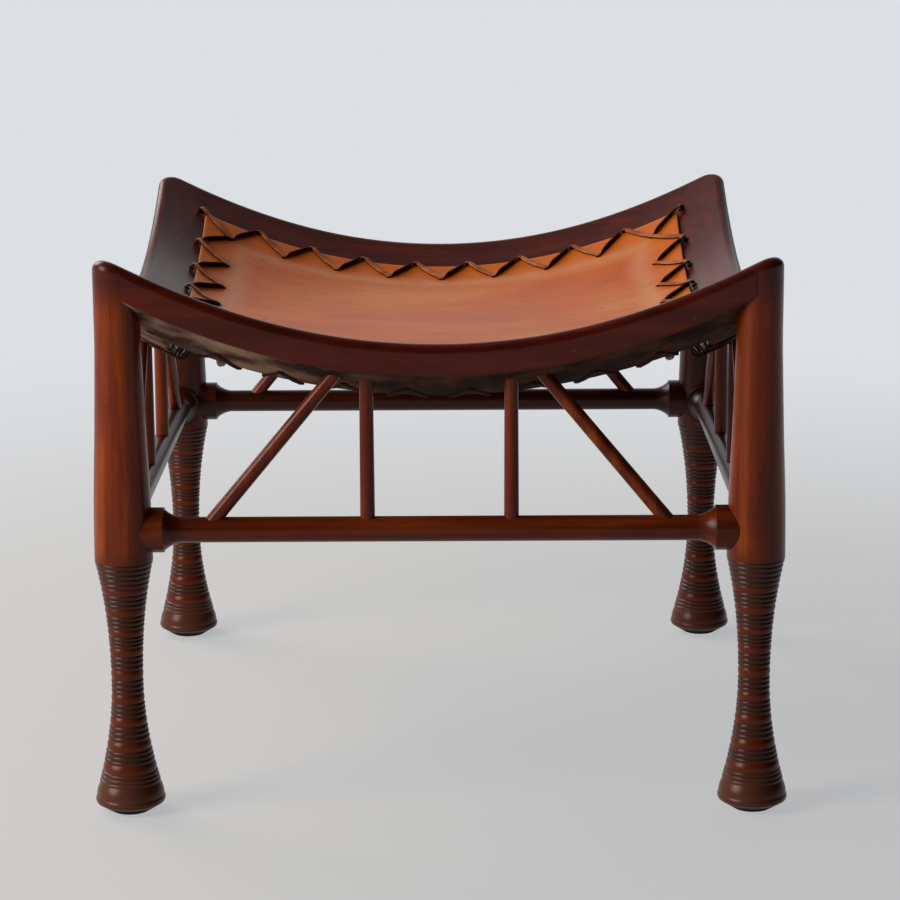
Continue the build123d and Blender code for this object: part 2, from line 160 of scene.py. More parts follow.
world = bpy.data.worlds.new("room")
bpy.context.scene.world = world
world.use_nodes = True
tree = world.node_tree
tree.nodes.clear()
way = add_node(tree, "ShaderNodeTexCoord").outputs["Generated"]
toward_window = add_node(
    tree, "ShaderNodeVectorMath", {"operation": "DOT_PRODUCT", 1: (-0.5, 0.8, 0.1)}, {0: way}
)
room_level = add_node(
    tree,
    "ShaderNodeMapRange",
    {"From Min": -0.2, "From Max": 0.8, "To Min": 0.02, "To Max": 0.5},
    {"Value": toward_window.outputs["Value"]},
)
room = add_node(
    tree, "ShaderNodeBackground", {"Color": linear("#F1F1F3")}, {"Strength": room_level.outputs[0]}
)
add_node(tree, "ShaderNodeOutputWorld", links={"Surface": room.outputs[0]})
bpy.context.scene.view_settings.view_transform = "Standard"


# Legs, turned from mahogany and French polished, a thin clear film over wood stained deep red-brown.
# The waist is cut with rings, dark wax lies in their grooves, and plain red-brown bands part the groups.
# The back legs take a darker copy of the wood: partly darker wood, partly painted shade for the shade at the
# back of the stool.
def ramp(tree, source, stops, interpolation="LINEAR"):
    """A colour ramp from its (position, hex colour or grey) stops."""
    node = add_node(tree, "ShaderNodeValToRGB", links={"Fac": source})
    node.color_ramp.interpolation = interpolation
    while len(node.color_ramp.elements) < len(stops):
        node.color_ramp.elements.new(0.5)
    for element, (position, colour) in zip(node.color_ramp.elements, stops):
        element.position = position
        element.color = linear(colour) if isinstance(colour, str) else (colour, colour, colour, 1)
    return node.outputs["Color"]


def mix_colour(tree, amount, first, second, blend="MIX"):
    """Two colours mixed, each a socket or a hex colour, by a socket or a number."""
    node = add_node(tree, "ShaderNodeMix", {"data_type": "RGBA", "blend_type": blend})
    # A mix node takes its amount at socket 0 and its colours at 6 and 7, and gives a colour at output 2
    for key, value in ((0, amount), (6, first), (7, second)):
        if isinstance(value, bpy.types.NodeSocket):
            tree.links.new(value, node.inputs[key])
        else:
            node.inputs[key].default_value = linear(value) if isinstance(value, str) else value
    return node.outputs[2]


def mahogany(name, dark, body, warm, turn_by=(0, 0, 0), finish=None):
    """French-polished mahogany: faint figure, fine dark pores, a few pale nicks, a clear gloss.

    The grain runs upright unless it is turned. A finish changes the colour and gloss of part of a piece.
    """
    material, tree = new_material(name)
    place = add_node(tree, "ShaderNodeTexCoord").outputs["Object"]
    turned = add_node(tree, "ShaderNodeMapping", {"Rotation": turn_by}, {"Vector": place})
    drawn = add_node(tree, "ShaderNodeMapping", {"Scale": (1, 1, 0.07)}, {"Vector": turned.outputs[0]})
    grain = drawn.outputs[0]
    # Figure: soft bands 10 mm apart that run some 150 mm along the grain
    figure = add_node(
        tree, "ShaderNodeTexNoise", {"Scale": 95, "Detail": 4, "Roughness": 0.55}, {"Vector": grain}
    )
    # Pores are 0.2 mm wide on the real wood, and drawn coarser, 1 mm apart, so that they show
    pores = add_node(
        tree, "ShaderNodeTexNoise", {"Scale": 1000, "Detail": 2, "Roughness": 0.5}, {"Vector": grain}
    )
    # Tone: clouds 65 mm across where the stain took more or less
    tone = add_node(
        tree, "ShaderNodeTexNoise", {"Scale": 15, "Detail": 4, "Roughness": 0.55}, {"Vector": place}
    )
    # Nicks: a few pale specks, only the highest peaks of a pattern 5 mm apart
    nicks = add_node(
        tree, "ShaderNodeTexNoise", {"Scale": 210, "Detail": 3, "Roughness": 0.7}, {"Vector": place}
    )
    colour = ramp(tree, figure.outputs["Fac"], ((0.3, dark), (0.5, body), (0.72, warm)))
    stain_and_painted_shade = ramp(tree, tone.outputs["Fac"], ((0.35, 0.0), (0.7, 0.55)))
    colour = mix_colour(tree, stain_and_painted_shade, colour, body)
    pore_dark = ramp(tree, pores.outputs["Fac"], ((0.34, 0.6), (0.46, 1.0)))
    colour = mix_colour(tree, 0.5, colour, pore_dark, "MULTIPLY")
    bare = ramp(tree, nicks.outputs["Fac"], ((0.735, 0.0), (0.76, 0.7)))
    colour = mix_colour(tree, bare, colour, "#A8705A")
    gloss = add_node(
        tree, "ShaderNodeMapRange", {"To Min": 0.24, "To Max": 0.36}, {"Value": tone.outputs["Fac"]}
    ).outputs[0]
    if finish:
        colour, gloss = finish(tree, place, colour, gloss)
    relief = add_node(
        tree, "ShaderNodeBump", {"Strength": 0.2, "Distance": 0.0001}, {"Height": pores.outputs["Fac"]}
    )
    shade = add_node(
        tree,
        "ShaderNodeBsdfPrincipled",
        {"IOR": 1.5, "Specular IOR Level": 0.2},
        {"Base Color": colour, "Roughness": gloss, "Normal": relief.outputs[0]},
    )
    add_node(tree, "ShaderNodeOutputMaterial", links={"Surface": shade.outputs[0]})
    return material


rail_colours = ("#320B04", "#4C1207", "#64200B")
band_colour = "#5E220C"
wax_colour = "#46261B"
foot_colour = "#572F22"
# The sole's near black is painted shadow where the foot meets the floor.
sole_painted_shadow_colour = "#140806"
ring_top = 0.1737
# Each group of rings by its top and its span, as shares of the height of the topmost ring
group_top_shares = (1, 0.8745, 0.7887, 0.7064, 0.6281, 0.5325, 0.4398, 0.35, 0.2545, 0.1658)
group_span_shares = (0.098, 0.054, 0.054, 0.046, 0.0575, 0.0575, 0.055, 0.06, 0.0535, 0.0495)
group_edge_share = 0.001
waist_fade = 0.012
sole_low, sole_high = 0.003, 0.008
foot_low, foot_high = 0.022, 0.034
head_low, head_high = 0.335, 0.365


def waxed_rings(tree, place, colour, gloss):
    """Darks the groups of rings with old wax, paints shadow on the sole, and brings the head of the leg to
    the colour of the rails.
    """
    height = add_node(tree, "ShaderNodeSeparateXYZ", links={0: place}).outputs["Z"]
    share = add_node(tree, "ShaderNodeMath", {"operation": "DIVIDE", 1: ring_top}, {0: height})
    stops = []
    for top_share, span_share in reversed(list(zip(group_top_shares, group_span_shares))):
        stops += [(top_share - span_share, 0.0), (top_share - group_edge_share, 1.0)]
    bands = ramp(tree, share.outputs[0], [(0, 1.0)] + stops, "CONSTANT")
    above = add_node(
        tree, "ShaderNodeMath", {"operation": "GREATER_THAN", 1: 1}, {0: share.outputs[0]}
    )
    keep = add_node(tree, "ShaderNodeMath", {"operation": "MAXIMUM"}, {0: above.outputs[0], 1: bands})
    waist = add_node(
        tree,
        "ShaderNodeMapRange",
        {"From Min": ring_top, "From Max": ring_top + waist_fade},
        {"Value": height},
    )
    colour = mix_colour(tree, waist.outputs[0], band_colour, colour)
    colour = mix_colour(tree, keep.outputs[0], wax_colour, colour)
    foot = add_node(
        tree, "ShaderNodeMapRange", {"From Min": foot_low, "From Max": foot_high}, {"Value": height}
    )
    colour = mix_colour(tree, foot.outputs[0], foot_colour, colour)
    sole = add_node(
        tree, "ShaderNodeMapRange", {"From Min": sole_low, "From Max": sole_high}, {"Value": height}
    )
    # Painted shadow: the sole is painted near black where the foot meets the floor.
    colour = mix_colour(tree, sole.outputs[0], sole_painted_shadow_colour, colour)
    # The sole is bare end grain without polish
    bare = add_node(tree, "ShaderNodeMath", {"operation": "SUBTRACT", 0: 1}, {1: sole.outputs[0]})
    gloss = add_node(tree, "ShaderNodeMath", {"operation": "MAXIMUM"}, {0: gloss, 1: bare.outputs[0]})
    head = add_node(
        tree,
        "ShaderNodeMapRange",
        {"interpolation_type": "SMOOTHSTEP", "From Min": head_low, "From Max": head_high},
        {"Value": height},
    )
    return mix_colour(tree, head.outputs[0], colour, rail_colours[1]), gloss.outputs[0]


def coat(material, names):
    """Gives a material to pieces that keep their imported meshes."""
    for name in names:
        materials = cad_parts[name].data.materials
        materials.clear()
        materials.append(material)


leg_wood = mahogany("polished_mahogany_front_legs", "#4C1702", "#782C04", "#A44E08", finish=waxed_rings)
# The back legs' darker colours are partly painted shade.
shaded_back_leg_wood = mahogany("polished_mahogany_back_legs_painted_shade", "#2C0E04", "#481A07", "#66300E", finish=waxed_rings)
coat(leg_wood, ("leg_front_left", "leg_front_right"))
coat(shaded_back_leg_wood, ("leg_back_left", "leg_back_right"))


# Rails, sawn from mahogany to their curve, and polished on top and outside only.
# Their tops are rubbed by sitters, and the undersides were left raw from the saw and have gone dusty grey.
# The front and back rails have their grain across the stool, the side rails from front to back.
# Across the stool, the painted shade under the rails begins at the first width and is full at the second
painted_light_end_x = -0.15
painted_shade_full_x = -0.03


def raw_underside(tree, place, colour, gloss):
    """Bare dusty wood wherever the surface looks down, with painted shade from the middle to the right and on
    the rounded edges.
    """
    facing = add_node(tree, "ShaderNodeNewGeometry").outputs["Normal"]
    height = add_node(tree, "ShaderNodeSeparateXYZ", links={0: facing}).outputs["Z"]
    bare = add_node(
        tree, "ShaderNodeMapRange", {"From Min": -0.45, "From Max": -0.7}, {"Value": height}
    )
    # Dust and stain lie in patches 22 mm across
    stain = add_node(tree, "ShaderNodeTexNoise", {"Scale": 45, "Detail": 5}, {"Vector": place})
    wood = ramp(tree, stain.outputs["Fac"], ((0.36, "#3C2820"), (0.5, "#7A6054"), (0.64, "#A68C7C")))
    # Painted light and shade: it is palest at the left, where the light falls, and painted brown to nearly
    # black from the middle to the right, as shade.
    across = add_node(tree, "ShaderNodeSeparateXYZ", links={0: place}).outputs["X"]
    stain_and_painted_shade = ramp(tree, stain.outputs["Fac"], ((0.36, "#160805"), (0.5, "#2E160D"), (0.64, "#4A2C1E")))
    painted_shade_right = add_node(
        tree,
        "ShaderNodeMapRange",
        {"From Min": painted_light_end_x, "From Max": painted_shade_full_x, "To Max": 0.95},
        {"Value": across},
    )
    wood = mix_colour(tree, painted_shade_right.outputs[0], wood, stain_and_painted_shade)
    # Painted shade: the rounded edges, which face half up, are darkened to stand in for shade.
    edge = ramp(tree, height, ((0.06, 0.0), (0.3, 0.3), (0.55, 0.3), (0.75, 0.0)))
    colour = mix_colour(tree, edge, colour, "#1E0805")
    dull = add_node(tree, "ShaderNodeMath", {"operation": "MAXIMUM"}, {0: bare.outputs[0], 1: gloss})
    return mix_colour(tree, bare.outputs[0], colour, wood), dull.outputs[0]


across_wood = mahogany("polished_mahogany_across", *rail_colours, (0, pi / 2, 0), raw_underside)
deep_wood = mahogany("polished_mahogany_deep", *rail_colours, (pi / 2, 0, 0), raw_underside)
coat(across_wood, ("rail_front", "rail_back"))
coat(deep_wood, ("rail_left", "rail_right"))


# Stretchers, turned from mahogany with a flare and a collar at each end, and tenoned into the legs.
# The front one is as light as the legs, and the other three take darker colours, painted shade for the shade
# at the back and sides.
# The darker colours of the back and side stretchers are painted shade.
turned_colours = ("#1E0804", "#341006", "#50200B")
front_turned_colours = ("#3A1005", "#5C200A", "#7C3812")
front_rod = mahogany("polished_mahogany_front_rod", *front_turned_colours, (0, pi / 2, 0))
shaded_back_rod = mahogany("polished_mahogany_back_rod_painted_shade", *turned_colours, (0, pi / 2, 0))
shaded_side_rods = mahogany("polished_mahogany_side_rods_painted_shade", *turned_colours, (pi / 2, 0, 0))
coat(front_rod, ("stretcher_front",))
coat(shaded_back_rod, ("stretcher_back",))
coat(shaded_side_rods, ("stretcher_left", "stretcher_right"))


# Spindles and braces, thin mahogany rods turned to one thickness, with their grain along them.
# Each is tenoned into the stretcher below and the rail above, two upright and two slanting on each side.
rod_colours = ("#3E1204", "#662206", "#8E420E")
upright_rod = mahogany("polished_mahogany_spindles", *rod_colours)
coat(upright_rod, [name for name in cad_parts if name.startswith(("spindle_", "brace_"))])


# Seat, one piece of thick tan bridle hide laid over the inner margin of the rails and sunk by sitters.
# It is orange-tan, paler where it is rubbed, with fine wrinkles, a few stains and a bare pale cut edge.
# A row of punched holes runs round it, for the thong.
half_width = 0.225
half_depth = 0.235
corner_rise_across = 0.0663
corner_rise_deep = 0.0638
front_rail_height = 0.3238
corner_ease = 0.006
corner_ease_power_share = 6
rail_width = 0.045
# The tops of the rails lie on a hollow of two arcs, one across the stool and one from front to back
curve_across = (half_width**2 + corner_rise_across**2) / (2 * corner_rise_across)
curve_deep = (half_depth**2 + corner_rise_deep**2) / (2 * corner_rise_deep)


def top_at(x, y):
    """Height of the hollow top of the frame."""
    rise_across = curve_across - sqrt(curve_across**2 - x**2)
    rise_deep = curve_deep - sqrt(curve_deep**2 - y**2)
    ease = corner_ease * abs(x * y / (half_width * half_depth)) ** corner_ease_power_share
    return front_rail_height - corner_rise_deep + rise_across + rise_deep - ease


leather_thickness = 0.0028
leather_inset = 0.0383
leather_hole_inset = 0.059
leather_corner_round = 0.004
leather_rise = 0.023
leather_rise_power_share = 1.25
hole_radius = 0.0026
soft_gap = 0.0003
hide_gap = soft_gap * 1.2
lace_pitches = 8
margin_wander = 0.03
margin_low = leather_hole_inset + 0.008
margin_high = 0.098


def seat_at(x, y):
    """Height of the underside of the hide: on the rails, and hung less deep than they curve between them."""
    span_across = max(0, 1 - (x / (half_width - rail_width)) ** 2)
    span_deep = max(0, 1 - (y / (half_depth - rail_width)) ** 2)
    rise = leather_rise * (span_across * span_deep) ** leather_rise_power_share
    return top_at(x, y) + hide_gap + rise


def square_up(x, y):
    """The way that the hollow top faces."""
    step = 0.001
    along_x = Vector((2 * step, 0, top_at(x + step, y) - top_at(x - step, y)))
    along_y = Vector((0, 2 * step, top_at(x, y + step) - top_at(x, y - step)))
    return along_x.cross(along_y).normalized()


def bridle_hide():
    """Oiled bridle leather: deep orange in the margin, rubbed paler inside, wrinkled, with a waxy sheen."""
    material, tree = new_material("tan_bridle_hide")
    place = add_node(tree, "ShaderNodeTexCoord").outputs["Object"]
    split = add_node(tree, "ShaderNodeSeparateXYZ", links={0: place})
    reach_x = add_node(tree, "ShaderNodeMath", {"operation": "ABSOLUTE"}, {0: split.outputs["X"]})
    reach_y = add_node(tree, "ShaderNodeMath", {"operation": "ABSOLUTE"}, {0: split.outputs["Y"]})
    inset_x = add_node(
        tree, "ShaderNodeMath", {"operation": "SUBTRACT", 0: half_width}, {1: reach_x.outputs[0]}
    )
    inset_y = add_node(
        tree, "ShaderNodeMath", {"operation": "SUBTRACT", 0: half_depth}, {1: reach_y.outputs[0]}
    )
    inset = add_node(
        tree, "ShaderNodeMath", {"operation": "MINIMUM"}, {0: inset_x.outputs[0], 1: inset_y.outputs[0]}
    )
    # Stain clouds 180 mm from side to side and 75 mm deep, drawn out as the hide was rubbed
    spread = add_node(tree, "ShaderNodeMapping", {"Scale": (0.55, 1.3, 1)}, {"Vector": place})
    clouds = add_node(
        tree,
        "ShaderNodeTexNoise",
        {"Scale": 10, "Detail": 5, "Roughness": 0.55},
        {"Vector": spread.outputs[0]},
    )
    # The clouds make the inner border of the margin wander
    ragged = add_node(
        tree,
        "ShaderNodeMath",
        {"operation": "MULTIPLY_ADD", 1: margin_wander},
        {0: clouds.outputs["Fac"], 2: inset.outputs[0]},
    )
    inside = add_node(
        tree,
        "ShaderNodeMapRange",
        {"interpolation_type": "SMOOTHSTEP", "From Min": margin_low, "From Max": margin_high},
        {"Value": ragged.outputs[0]},
    )
    rubbed = ramp(tree, clouds.outputs["Fac"], ((0.32, "#B84C00"), (0.48, "#C65E0C"), (0.66, "#D27A34")))
    colour = mix_colour(tree, inside.outputs[0], "#CC6200", rubbed)
    # Painted highlight: a pale band along the soft bend just inside the row of holes, 72 to 96 mm on the same
    # wandering measure, where the bend catches the light.
    bend = ramp(tree, ragged.outputs[0], ((0.072, 0.0), (0.083, 0.45), (0.096, 0.0)))
    colour = mix_colour(tree, bend, colour, "#D29A70")
    # Creases 20 mm long and 9 mm apart. Skin pores are drawn coarser than real ones, 1.2 mm apart, to show.
    creases = add_node(
        tree,
        "ShaderNodeTexNoise",
        {"Scale": 85, "Detail": 7, "Roughness": 0.65},
        {"Vector": spread.outputs[0]},
    )
    skin = add_node(tree, "ShaderNodeTexVoronoi", {"Scale": 850, "feature": "F1"}, {"Vector": place})
    mottle = ramp(tree, creases.outputs["Fac"], ((0.36, 0.82), (0.52, 1.0)))
    colour = mix_colour(tree, 0.6, colour, mottle, "MULTIPLY")
    # A few small dark stains, only the lows of a pattern 17 mm apart
    spots = add_node(
        tree, "ShaderNodeTexNoise", {"Scale": 60, "Detail": 2, "Roughness": 0.4}, {"Vector": place}
    )
    stain_and_painted_shade = ramp(tree, spots.outputs["Fac"], ((0.2, 0.55), (0.27, 0.0)))
    colour = mix_colour(tree, stain_and_painted_shade, colour, "#7A3316")
    height = add_node(
        tree,
        "ShaderNodeMath",
        {"operation": "MULTIPLY_ADD", 1: 0.25},
        {0: skin.outputs["Distance"], 2: creases.outputs["Fac"]},
    )
    relief = add_node(
        tree, "ShaderNodeBump", {"Strength": 0.3, "Distance": 0.0004}, {"Height": height.outputs[0]}
    )
    gloss = add_node(
        tree, "ShaderNodeMapRange", {"To Min": 0.36, "To Max": 0.5}, {"Value": clouds.outputs["Fac"]}
    )
    shade = add_node(
        tree,
        "ShaderNodeBsdfPrincipled",
        {"IOR": 1.5, "Specular IOR Level": 0.22},
        {"Base Color": colour, "Roughness": gloss.outputs[0], "Normal": relief.outputs[0]},
    )
    add_node(tree, "ShaderNodeOutputMaterial", links={"Surface": shade.outputs[0]})
    return material


def cut_edge():
    """The bare fibres of the hide's cut edge and its flesh side, pale and matt, in flecks of 2 mm."""
    material, tree = new_material("cut_edge_of_hide")
    place = add_node(tree, "ShaderNodeTexCoord").outputs["Object"]
    fibres = add_node(
        tree, "ShaderNodeTexNoise", {"Scale": 500, "Detail": 4, "Roughness": 0.6}, {"Vector": place}
    )
    colour = ramp(tree, fibres.outputs["Fac"], ((0.35, "#6E5240"), (0.6, "#A08064")))
    relief = add_node(
        tree, "ShaderNodeBump", {"Strength": 0.4, "Distance": 0.0003}, {"Height": fibres.outputs["Fac"]}
    )
    shade = add_node(
        tree,
        "ShaderNodeBsdfPrincipled",
        {"Roughness": 0.85},
        {"Base Color": colour, "Normal": relief.outputs[0]},
    )
    add_node(tree, "ShaderNodeOutputMaterial", links={"Surface": shade.outputs[0]})
    return material


def lace_places(half):
    """Places of the punched holes along one edge of the hide, the corner holes among them."""
    reach = half - leather_hole_inset
    return [reach * (2 * k / lace_pitches - 1) for k in range(lace_pitches + 1)]


cells_across = 120
cells_deep = 124
cut_edge_round = 0.0006
punch_sides = 20
punch_length = 0.02
bpy.ops.object.select_all(action="DESELECT")
bpy.ops.mesh.primitive_grid_add(x_subdivisions=cells_across, y_subdivisions=cells_deep, size=2)
seat = bpy.context.object
seat.name = "seat_hide"
corner_x = half_width - leather_inset - leather_corner_round
corner_y = half_depth - leather_inset - leather_corner_round
for vertex in seat.data.vertices:
    x = vertex.co.x * (half_width - leather_inset)
    y = vertex.co.y * (half_depth - leather_inset)
    past_x = max(0, abs(x) - corner_x) / leather_corner_round
    past_y = max(0, abs(y) - corner_y) / leather_corner_round
    # The square of cells at each corner is drawn in to a quarter circle
    if past_x > 0 and past_y > 0:
        x = (corner_x + leather_corner_round * past_x * sqrt(1 - past_y**2 / 2)) * (1 if x > 0 else -1)
        y = (corner_y + leather_corner_round * past_y * sqrt(1 - past_x**2 / 2)) * (1 if y > 0 else -1)
    vertex.co = (x, y, seat_at(x, y))
thickness = seat.modifiers.new("thickness", "SOLIDIFY")
thickness.thickness = leather_thickness
thickness.offset = 1
thickness.material_offset = 1
thickness.material_offset_rim = 1
rounding = seat.modifiers.new("rounding", "BEVEL")
rounding.width = cut_edge_round
rounding.segments = 2
rounding.limit_method = "ANGLE"
seat.data.materials.append(bridle_hide())
seat.data.materials.append(cut_edge())
for modifier in ("thickness", "rounding"):
    bpy.ops.object.modifier_apply(modifier=modifier)
row_x = half_width - leather_hole_inset
row_y = half_depth - leather_hole_inset
punched = [(x, side * row_y) for x in lace_places(half_width) for side in (-1, 1)]
punched += [(side * row_x, y) for y in lace_places(half_depth)[1:-1] for side in (-1, 1)]
punches = []
for x, y in punched:
    bpy.ops.object.select_all(action="DESELECT")
    facing = square_up(x, y)
    bpy.ops.mesh.primitive_cylinder_add(
        vertices=punch_sides,
        radius=hole_radius,
        depth=punch_length,
        location=(x, y, seat_at(x, y)),
        rotation=facing.to_track_quat("Z", "Y").to_euler(),
    )
    punches.append(bpy.context.object)
for punch in punches:
    punch.select_set(True)
bpy.context.view_layer.objects.active = punches[0]
bpy.ops.object.join()
punch = bpy.context.object
punching = seat.modifiers.new("punching", "BOOLEAN")
punching.operation = "DIFFERENCE"
punching.solver = "EXACT"
punching.object = punch
bpy.context.view_layer.objects.active = seat
bpy.ops.object.modifier_apply(modifier="punching")
bpy.data.objects.remove(punch)
bpy.ops.object.select_all(action="DESELECT")
seat.select_set(True)
bpy.ops.object.shade_smooth_by_angle(angle=radians(40))
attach(seat, "root")
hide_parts("seat_leather")


# Lacing, a thong of the same hide, taken to be drawn twice through every hole of the rails and the seat.
# It goes up through the rail, in over the margin, down through the hide and out again under the rail.
# Straps that slant one way lie flat, and those that slant the other way stand on edge and show their flesh
# side, painted nearly black as painted shade.
rail_thickness = 0.0215
rail_hole_inset = 0.0348
strap_width = 0.0043
strap_thickness = 0.0011
strap_crown = 0.00015
strap_edge_round = 0.0003
strap_cells = 4
on_edge = radians(84)
turned_share = 0.8
least_tilt_share = 0.35
least_width_share = 0.85
half_strap = strap_thickness / 2
# The thong is squeezed narrower in a hole, and its two passes lie this far to either side of the middle
narrow = strap_width * 0.82
pass_offset = 0.0009
# It stands this much prouder where it rounds the rim of a rail's hole, flat or on edge, and then settles
knuckle_flat = 0.0009
knuckle_on_edge = 0.0003
run_knuckle_share = 0.6
hide_knuckle_share = 0.4
knuckle_lean = 1.2
# The fold over the inner edge of a rail reaches this far up and in
fold_reach = 0.002
# Places along a run over the margin, each with how far the thong has opened out: 0 by a hole, 1 at its widest
swell_shares = ((0.1, 0.0), (0.24, 0.55), (0.4, 0.95), (0.55, 1.0), (0.7, 0.9), (0.84, 0.45), (0.93, 0.0))
# Places from the rail's edge up to the hide's hole, and along under the rail to its own hole
rise_shares = (0.7, 0.35)
under_shares = (0.3, 0.6, 0.82)
# Reaches into a hole from its lower and upper mouths, to both sides of the hide's lower face, and of a tail
past_lower_mouth = 0.004
past_upper_mouth = 0.005
past_hide = 0.001
tail = 0.006
corner_tail = 0.008
# The thong is drawn this far into the raw underside of the rails, so that it lies close
pressed_in = 0.0004
# Under the hide it hangs a little lower than under the rails
hide_drop_share = 1.6
hole_steps = 8
over_hide = leather_thickness + soft_gap * 0.5 + half_strap
under_drop = half_strap - pressed_in
edge_inset = rail_width + under_drop
up = Vector((0, 0, 1))


class Edge:
    """One side of the seat: the way along it, the way out, and the curves of its rail."""

    def __init__(self, name, along, out, half_length, half_across, corner_rise, curve, curve_along):
        self.name = name
        self.along = Vector(along)
        self.out = Vector(out)
        self.half_length = half_length
        self.half_across = half_across
        # Across its width a rail is an arc, and along it that arc is turned about a line above the seat
        self.turn_height = front_rail_height - corner_rise_deep + corner_rise + curve_along
        self.section_height = front_rail_height - corner_rise_deep + curve
        self.under_radius = curve + rail_thickness

    def point(self, along, inset, height=0):
        """A place on this side: along it from its middle, in from its outer face, and up from the floor."""
        return self.along * along + self.out * (self.half_across - inset) + up * height

    def under(self, along, inset, drop=0):
        """Height of the rail's underside, or that much below it."""
        reach = self.half_across - inset
        section = self.section_height - sqrt((self.under_radius + drop) ** 2 - reach**2)
        turn = self.turn_height - section
        return self.turn_height - sqrt(turn**2 - along**2)

    def hole_top(self, along):
        """The top of a hole in the rail, and the way that it is bored."""
        flat = self.point(along, rail_hole_inset)
        facing = square_up(flat.x, flat.y)
        bore = (self.out * facing.dot(self.out) + up * facing.z).normalized()
        return flat + up * top_at(flat.x, flat.y), bore

    def hole_under(self, along, drop):
        """Where the hole comes out under the rail, or that much below, found in steps along the bore."""
        start, bore = self.hole_top(along)
        length = rail_thickness
        for _ in range(hole_steps):
            end = start - bore * length
            end_inset = self.half_across - end.dot(self.out)
            length += (end.z - self.under(along, end_inset, drop)) * bore.z
        return start - bore * length


across_curves = (corner_rise_deep, curve_deep, curve_across)
deep_curves = (corner_rise_across, curve_across, curve_deep)
edges = [
    Edge("front", (1, 0, 0), (0, -1, 0), half_width, half_depth, *across_curves),
    Edge("back", (1, 0, 0), (0, 1, 0), half_width, half_depth, *across_curves),
    Edge("left", (0, 1, 0), (-1, 0, 0), half_depth, half_width, *deep_curves),
    Edge("right", (0, 1, 0), (1, 0, 0), half_depth, half_width, *deep_curves),
]


def over_seat(place, lift):
    """A point over the hide."""
    return Vector((place.x, place.y, seat_at(place.x, place.y))) + square_up(place.x, place.y) * lift


def top_run(start, end, knuckle, turned):
    """Over the margin, from a hole in the rail to one in the hide, flat or turned on edge."""
    run = (end - start) * Vector((1, 1, 0))
    leaning = Vector((-1, 1, 0)).normalized()
    rows = []
    for share, swell in swell_shares:
        place = start + run * share
        facing = square_up(place.x, place.y)
        nearness = 1 - 2 * min(share, 1 - share)
        lift = over_hide + knuckle * nearness
        if turned:
            tilt = on_edge * (least_tilt_share + (1 - least_tilt_share) * swell)
            face = facing * cos(tilt) + leaning * sin(tilt)
            lift += strap_width * turned_share / 2 * sin(tilt) - half_strap
        else:
            face = facing
        opened = least_width_share + (1 - least_width_share) * swell
        rows.append((over_seat(place, lift), face, strap_width * (turned_share if turned else opened)))
    return rows


def lace_pass(edge, forward):
    """One pass of the thong along a side, as places with the way that the grain side faces and the width."""
    seat_places = lace_places(edge.half_length)
    rail_places = [(a + b) / 2 for a, b in zip(seat_places, seat_places[1:])]
    side = 1 if forward else -1
    shift = edge.out * (pass_offset * side)
    order = range(len(rail_places)) if forward else reversed(range(len(rail_places)))
    rows = []
    for hole in order:
        top, bore = edge.hole_top(rail_places[hole])
        low = edge.hole_under(rail_places[hole], under_drop)
        before, after = (hole, hole + 1) if forward else (hole + 1, hole)
        inner = edge.point(seat_places[after], leather_hole_inset)
        seat_hole = Vector((inner.x, inner.y, seat_at(inner.x, inner.y)))
        facing = square_up(inner.x, inner.y)
        run = (seat_hole - top) * Vector((1, 1, 0))
        turned = run.x * run.y > 0
        # From under the hide to the inner edge of the rail, and out to the hole
        came = edge.point(seat_places[before], leather_hole_inset)
        came = Vector((came.x, came.y, seat_at(came.x, came.y)))
        came_down = square_up(came.x, came.y)
        if 0 < before < lace_pitches:
            rows.append((came - came_down * under_drop * hide_drop_share + shift, -edge.out, narrow))
        low_inset = edge.half_across - low.dot(edge.out)
        share = (edge_inset - low_inset) / (leather_hole_inset - low_inset)
        bend_along = rail_places[hole] + (seat_places[before] - rail_places[hole]) * share
        bend = edge.point(bend_along, edge_inset, edge.under(bend_along, edge_inset, under_drop))
        rise = came - bend
        for part in rise_shares:
            rows.append((bend + rise * part, (-edge.out - up / 4).normalized(), strap_width))
        rows.append((bend + up * fold_reach, -edge.out, narrow))
        rows.append((bend, (-edge.out - up).normalized(), narrow))
        folded = edge_inset - fold_reach
        under_fold = edge.under(bend_along, folded, under_drop)
        rows.append((edge.point(bend_along, folded, under_fold), -bore, narrow))
        for part in under_shares:
            along = bend_along + (rail_places[hole] - bend_along) * part
            place_inset = edge_inset + (low_inset - edge_inset) * part
            place = edge.point(along, place_inset, edge.under(along, place_inset, under_drop))
            rows.append((place, -bore, strap_width))
        # Up through the rail, in over the margin, and down through the hide
        outward = (edge.out - bore * edge.out.dot(bore)).normalized()
        rows.append((low + shift, (outward - bore).normalized(), narrow))
        rows.append((low + bore * past_lower_mouth + shift, outward, narrow))
        rows.append((top - bore * past_upper_mouth + shift, outward, narrow))
        rows.append((top + shift, outward, narrow))
        knuckle = knuckle_on_edge if turned else knuckle_flat
        rounded = (outward + bore * knuckle_lean).normalized()
        rows.append((top + bore * (over_hide + knuckle) + shift, rounded, narrow))
        rows += top_run(top, seat_hole, knuckle * run_knuckle_share, turned)
        inward = -(edge.out - facing * edge.out.dot(facing)).normalized()
        over_rim = seat_hole + facing * (over_hide + knuckle * hide_knuckle_share) - shift
        rows.append((over_rim, (inward + facing).normalized(), narrow))
        rows.append((seat_hole + facing * past_hide - shift, inward, narrow))
        if 0 < after < lace_pitches:
            rows.append((seat_hole - facing * past_hide - shift, inward, narrow))
        else:
            rows.append((seat_hole - facing * (tail / 2) - shift, inward, narrow))
            rows.append((seat_hole - facing * tail - shift, inward, narrow))
    return rows


